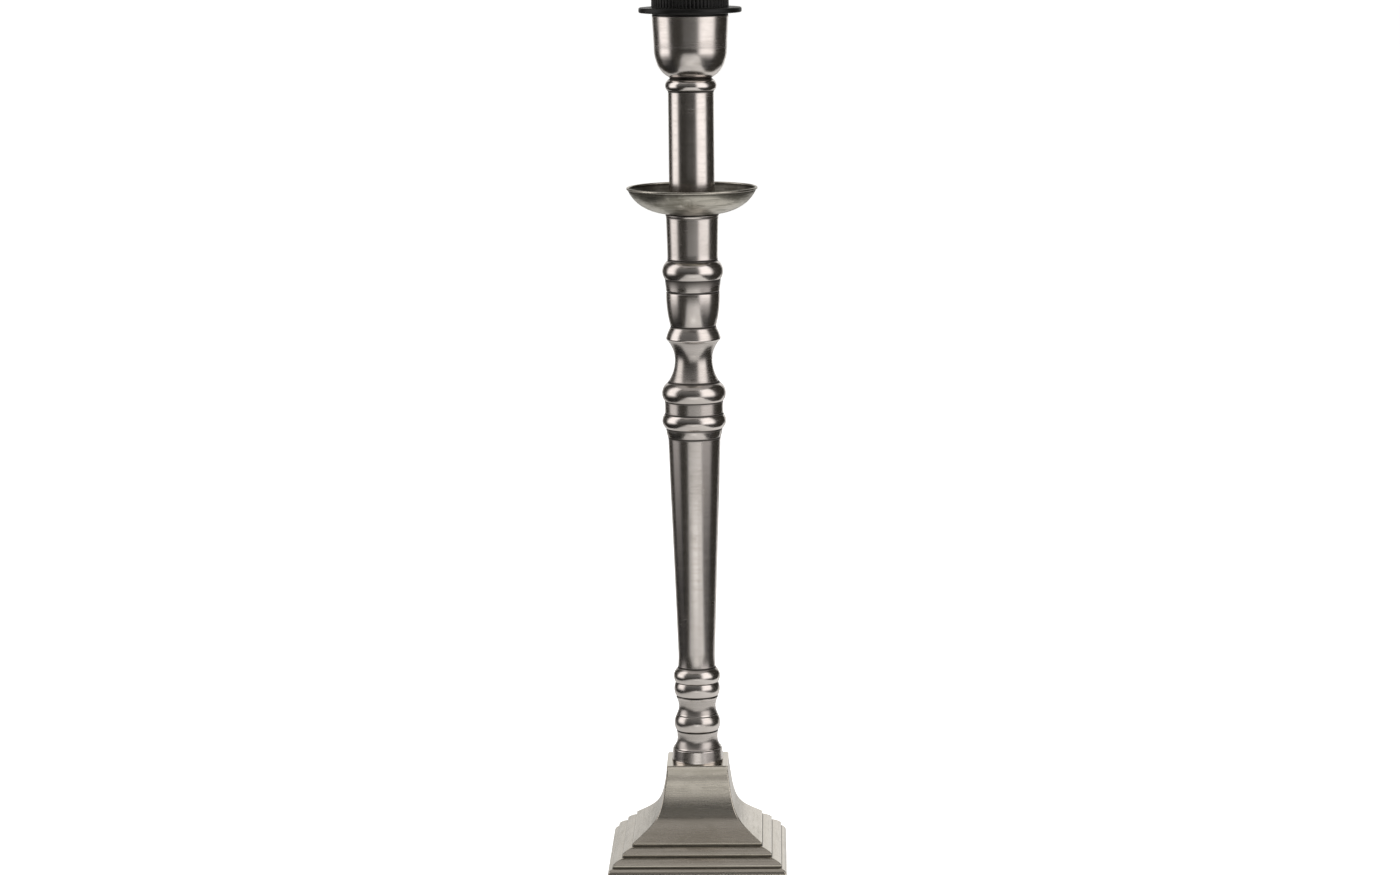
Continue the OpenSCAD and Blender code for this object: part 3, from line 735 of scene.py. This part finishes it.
def shade_ring():
    """Broad flange and finely ribbed collar, with the thread inside that the ring turns on."""
    low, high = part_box("shade_ring")
    ribs = 60
    collar_r = 21.4 * MM
    bore_r = 20.03 * MM
    edge = 0.9 * MM
    flange_r = high.x
    flange_top = low.z + 2.9 * MM
    outline = np.concatenate([
        [(bore_r, low.z + 0.5 * MM), (bore_r + 0.5 * MM, low.z)],
        arc((flange_r - edge, low.z + edge), edge, -90, 0, 7),
        arc((flange_r - edge, flange_top - edge), edge, 0, 90, 7),
        arc((collar_r + 0.4 * MM, flange_top + 0.4 * MM), 0.4 * MM, 270, 180, 4),
        arc((collar_r - 0.6 * MM, high.z - 0.6 * MM), 0.6 * MM, 0, 90, 5),
        [(bore_r + 0.4 * MM, high.z), (bore_r, high.z - 0.4 * MM)],
    ])
    rib_width = 2 * math.pi * collar_r / ribs

    def shift(radius, height, turn):
        across = (turn * ribs / (2 * math.pi) % 1 - 0.5) * rib_width
        flute = np.sqrt(np.clip((0.55 * MM) ** 2 - across**2, 0, None)) - 0.15 * MM
        flute = np.clip(flute, 0, None) * np.clip((height - flange_top) / (0.4 * MM), 0, 1)
        fluted = np.where(height > flange_top, np.minimum(radius, collar_r - flute), radius)
        root = thread(height, turn, M40_PITCH, low.z, high.z, flanks=0.7)
        cut = np.where(radius < bore_r + 0.02 * MM, 0.5 * MM * root, 0)
        return fluted - radius + cut

    points = lathed(resampled(outline, 0.3 * MM), ribs * 10, shift)
    mesh = grid_mesh("shade_ring_moulded", points)
    finish_piece("shade_ring_moulded", mesh, black_plastic, BODY_RING, "shade_ring")


shade_ring()


def holder_skirt():
    """Skirt with an M40 thread cut in its outside and the socket's E27 thread standing out inside."""
    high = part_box("holder_skirt")[1]
    outer_r = high.x
    socket_r = 13.35 * MM
    top = high.z

    def shift(radius, height, turn):
        root = thread(height, turn, M40_PITCH, top - 23 * MM, top - 0.6 * MM, flanks=0.7)
        outer = np.where(radius > outer_r - 0.02 * MM, -0.85 * MM * root, 0)
        crest = thread(height, turn, E27_PITCH, top - 25 * MM, top - 2.2 * MM, flanks=0.9)
        inner = np.where(abs(radius - socket_r) < 0.02 * MM, -1.1 * MM * crest, 0)
        return outer + inner

    outline = resampled(refined(turned_outline("holder_skirt")), 0.3 * MM)
    mesh = grid_mesh("holder_skirt_moulded", lathed(outline, TURNS, shift))
    finish_piece("holder_skirt_moulded", mesh, black_plastic, BODY_LAMP,
                 "holder_skirt")


holder_skirt()


def centre_contact():
    """Plunger with a domed head. Its outline starts and ends on the axis."""
    points, pairs = cad_rings("centre_contact", round_reach)
    joined = np.bincount(pairs.ravel(), minlength=len(points))
    ends = np.flatnonzero(joined == 1)
    foot = ends[np.argmin(points[ends, 1])]
    outline = refined(walked(points, pairs, foot), fillet=0.15 * MM, closed=False)
    outline[:, 0] = np.maximum(outline[:, 0], 0.02 * MM)
    mesh = grid_mesh("centre_contact_turned", lathed(outline, 64), wrap_rows=False)
    finish_piece("centre_contact_turned", mesh, brass, BODY_PLUNGER, "centre_contact")


centre_contact()


def contact_spring():
    """Round wire wound in a helix, at its rest length; on the real lamp it shortens as the lamp presses
    the plunger down.
    """
    low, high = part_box("contact_spring")
    turns = 5
    wire_r = 0.25 * MM
    length = high.z - low.z
    turn = np.linspace(0, 2 * math.pi * turns, 28 * turns + 1)[:, None]
    side = np.linspace(0, 2 * math.pi, 13)[None, :-1]
    radius = high.x - wire_r + wire_r * np.cos(side)
    height = low.z + wire_r + (length - 2 * wire_r) * turn / turn[-1] + wire_r * np.sin(side)
    points = np.stack([radius * np.cos(turn), radius * np.sin(turn), height], axis=-1)
    mesh = grid_mesh("contact_spring_wound", points, wrap_rows=False)
    spring = finish_piece("contact_spring_wound", mesh, zinc_steel, BODY_LAMP,
                          "contact_spring")
    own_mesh(spring)


contact_spring()


# ------------------------------------------------------------------ materials of the other CAD nodes

FITTINGS = (
    (zinc_steel, ("base_cover", "base_washer", "base_lock_washer", "threaded_tube", "centring_discs",
                  "cup_washer", "cap_grub_screw")),
    (brass, ("base_nut", "cup_nut", "centre_terminal", "side_contact", "terminal_screws")),
    (black_plastic, ("holder_cap",)),
    (steatite, ("contact_block",)),
    (cast_iron, ("base_weight",)),
)
for material, nodes in FITTINGS:
    for node in nodes:
        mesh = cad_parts[node].data
        mesh.materials.clear()
        mesh.materials.append(material)


# ------------------------------------------------------------------ studio


SOFTBOX_COLOUR = (1, 0.965, 0.955)
SOFTBOX_DISTANCE = 1.4
SOFTBOX_TOP = 2.15
SOFT_EDGE = 6  # degrees over which a reflected softbox fades out at its sides
PAPER_WHITE = (1, 0.985, 0.965)


def glowing(name, colour):
    """Emission for backdrops and for what metal reflects, as strong as the "glow" of its points."""
    material = bpy.data.materials.new(name)
    material.use_nodes = True
    tree = material.node_tree
    tree.nodes.clear()
    strength = tree.nodes.new("ShaderNodeAttribute")
    strength.attribute_name = "glow"
    glow = tree.nodes.new("ShaderNodeEmission")
    glow.inputs["Color"].default_value = (*colour, 1)
    out = tree.nodes.new("ShaderNodeOutputMaterial")
    tree.links.new(strength.outputs["Fac"], glow.inputs["Strength"])
    tree.links.new(glow.outputs[0], out.inputs["Surface"])
    return material


def stage_sheet(name, rows, material, seen_by, glow=1.0):
    """A sheet through rows of points, seen only by the camera, only in reflections, or by everything.

    glow is one strength, or one for each point of a row, or rows of them.
    """
    columns = len(rows[0])
    points = [point for row in rows for point in row]
    faces = [(i * columns + k, i * columns + k + 1, (i + 1) * columns + k + 1, (i + 1) * columns + k)
             for i in range(len(rows) - 1) for k in range(columns - 1)]
    mesh = bpy.data.meshes.new(name)
    mesh.from_pydata(points, [], faces)
    add_marks(mesh, {"glow": np.broadcast_to(glow, (len(rows), columns)).ravel()})
    mesh.materials.append(material)
    sheet = bpy.data.objects.new(name, mesh)
    bpy.context.scene.collection.objects.link(sheet)
    sheet.visible_camera = seen_by in ("camera", "all")
    sheet.visible_glossy = seen_by in ("reflections", "all")
    if seen_by != "all":
        for hidden in ("visible_diffuse", "visible_shadow", "visible_transmission"):
            setattr(sheet, hidden, False)
    return sheet


def around(azimuth, distance, height):
    """A point round the lamp. Azimuth is in degrees to the camera's right; 180 is behind the lamp."""
    a = math.radians(azimuth)
    return Vector((distance * math.sin(a), -distance * math.cos(a), height))


def softbox(name, azimuth, width, low, high, radiance):
    """A tall soft light that faces the lamp. Metal reflects a sheet in its place."""
    light = bpy.data.lights.new(name, "AREA")
    light.shape = "RECTANGLE"
    light.size = width
    light.size_y = high - low
    watts_for_radiance = 4
    light.energy = watts_for_radiance * radiance * width * (high - low)
    light.color = SOFTBOX_COLOUR
    lamp = bpy.data.objects.new(name, light)
    bpy.context.scene.collection.objects.link(lamp)
    lamp.location = around(azimuth, SOFTBOX_DISTANCE, (low + high) / 2)
    lamp.rotation_mode = "QUATERNION"
    lamp.rotation_quaternion = around(azimuth, -1, 0).to_track_quat("-Z", "Y")
    lamp.visible_camera = False
    lamp.visible_glossy = False
    return lamp


def ceiling_lights():
    """A dim panel that the metal reflects, and a wide sun for the floor and its soft shadows."""
    panel = softbox("ceiling_panel", azimuth=0, width=2.8, low=0, high=2.8, radiance=0.30)
    panel.visible_glossy = True
    panel.location = (0, -0.2, 2.3)
    panel.rotation_quaternion = Quaternion((1, 0, 0, 0))
    light = bpy.data.lights.new("room_light", "SUN")
    light.energy = 1.3
    light.angle = math.radians(60)
    sun = bpy.data.objects.new("room_light", light)
    bpy.context.scene.collection.objects.link(sun)
    sun.location = (0, 0, 2)
    sun.visible_glossy = False


def pale_floor():
    """White paper with a faint glow and a soft grain."""
    s = Shader("pale_floor")
    grain = s.noise(s.place, scale=400, detail=3)
    s.fill(s.surface, {"Emission Color": (1, 1, 1, 1), "Emission Strength": 0.66})
    colour = s.mixed(s.between(grain, 0.3, 0.7), (0.90, 0.90, 0.89), (0.88, 0.88, 0.87))
    return s.done(Base_Color=colour, Roughness=0.9)


def white_paper():
    """White floor and backdrop for the camera."""
    reach = 16.0
    dome_r = 14
    corners = [[(-reach, y, 0), (reach, y, 0)] for y in (-reach, reach)]
    floor = stage_sheet("floor", corners, pale_floor(), "all")
    floor.visible_glossy = False
    lifts = [math.radians(90 * i / 11) for i in range(12)]
    turns = [360 * k / 48 for k in range(49)]
    dome = [[around(turn, dome_r * math.cos(lift), dome_r * math.sin(lift)) for turn in turns]
            for lift in lifts]
    stage_sheet("backdrop", dome, glowing("backdrop_white", (1, 1, 1)), "camera", 1.05)


def reflected_softbox(side, first, last, radiance, floor_glow):
    """A softbox as metal reflects it, from one azimuth to another, and its light on the floor."""
    glow = glowing("softbox_glow_" + side, SOFTBOX_COLOUR)
    turns = [first - SOFT_EDGE, first + SOFT_EDGE, *np.linspace(first, last, 9)[2:-2], last - SOFT_EDGE,
             last + SOFT_EDGE]
    across = np.array([0, *np.ones(len(turns) - 2), 0])
    heights = (0, 0.06, 0.12, 0.2, 0.3, 0.45, SOFTBOX_TOP)
    upward = (0.36, 0.50, 0.66, 0.86, 0.98, 0.92, 0.92)
    box = [[around(turn, SOFTBOX_DISTANCE, height) for turn in turns] for height in heights]
    stage_sheet("reflected_softbox_" + side, box, glow, "reflections",
                radiance * np.outer(upward, across))
    distances = (0.3, 0.8, 1.1, SOFTBOX_DISTANCE)
    lit = [[around(turn, distance, 0.0001) for turn in turns] for distance in distances]
    stage_sheet("lit_floor_" + side, lit, glow, "reflections", np.outer(floor_glow, across))


def reflected_floor(paper):
    """The floor as metal reflects it: wider and dimmer far from the lamp, and brighter to the right."""
    depths = (-3.2, -2.4, -1.7, -1.1, -0.45, 0.0, 0.3, 1.05)
    half_widths = (1.2, 0.9, 0.7, 0.55, 0.345, 0.24, 0.3, 0.75)
    rows = [[(-half, y, 0.0002), (0, y, 0.0002), (1.15 * half, y, 0.0002)]
            for y, half in zip(depths, half_widths)]
    fade = np.interp(depths, (-3.2, -2.4, -1.7, -1.1, -0.6), (0, 0.20, 0.48, 0.80, 0.74))
    stage_sheet("reflected_floor", rows, paper, "reflections", np.outer(fade, (0.82, 0.97, 1.22)))


def reflected_card(paper):
    """A low white card in front of the foot, which fades at its sides and towards the floor."""
    rows = [[(x, -0.5, z) for x in (-0.16, -0.08, 0, 0.08, 0.16)] for z in (0, 0.04, 0.085)]
    fade = ((0.7, 0.75, 0.75, 0.8, 0.8), (0.7, 1.15, 1.2, 1.25, 0.8), (0.7, 1.3, 1.35, 1.4, 0.8))
    stage_sheet("reflected_card", rows, paper, "reflections", fade)


def reflected_walls(paper):
    """The dim room behind the camera, and the white wall behind the lamp."""
    azimuths = range(-60, 61, 10)
    room = [[around(azimuth, 3.4, z) for azimuth in azimuths] for z in (0.4, 1.0, 2.0, 3.5)]
    upward = (0.04, 0.09, 0.15, 0.2)
    stage_sheet("reflected_room", room, paper, "reflections", np.outer(upward, np.ones(len(azimuths))))
    wall = [[around(azimuth, 1.3, z) for azimuth in range(150, 211, 5)] for z in (0, 1.5)]
    stage_sheet("reflected_wall", wall, paper, "reflections", np.linspace(1.05, 0.65, 13))


def studio():
    """White paper, two softboxes, the ceiling lights and a dark warm air."""
    white_paper()
    paper = glowing("paper_glow", PAPER_WHITE)
    reflected_floor(paper)
    reflected_card(paper)
    reflected_walls(paper)
    reflected_softbox("left", first=-110, last=-69, radiance=1.60,
                      floor_glow=(0.02, 0.03, 0.30, 0.45))
    reflected_softbox("right", first=28, last=80, radiance=1.64,
                      floor_glow=(0.06, 0.07, 0.38, 0.50))
    softbox("softbox_left", azimuth=-91.5, width=1.34, low=0.06, high=SOFTBOX_TOP, radiance=1.13)
    softbox("softbox_right", azimuth=57.5, width=1.58, low=0.06, high=SOFTBOX_TOP, radiance=1.18)
    ceiling_lights()
    world = bpy.data.worlds.new("studio_air")
    bpy.context.scene.world = world
    world.use_nodes = True
    air = world.node_tree.nodes["Background"]
    air.inputs["Color"].default_value = (0.036, 0.033, 0.028, 1)


def camera():
    """A long lens a little above the lamp, turned slightly to its right side, as in the photograph."""
    azimuth = 1.3
    distance = 2.06
    eye_height = 0.572
    aim_height = 0.2518
    aim_right = 0.0031
    roll = math.radians(-0.585)
    eye = around(azimuth, distance, eye_height)
    aim = Vector((0, 0, aim_height)) + aim_right * around(azimuth + 90, 1, 0)
    data = bpy.data.cameras.new("camera")
    data.sensor_width = 36
    data.lens = 95.57
    data.clip_start = 0.05
    data.clip_end = 60
    made = bpy.data.objects.new("camera", data)
    bpy.context.scene.collection.objects.link(made)
    made.location = eye
    made.rotation_mode = "QUATERNION"
    made.rotation_quaternion = (aim - eye).to_track_quat("-Z", "Y") @ Quaternion((0, 0, 1), roll)
    bpy.context.scene.camera = made


studio()
camera()
bpy.context.scene.view_settings.view_transform = "Standard"
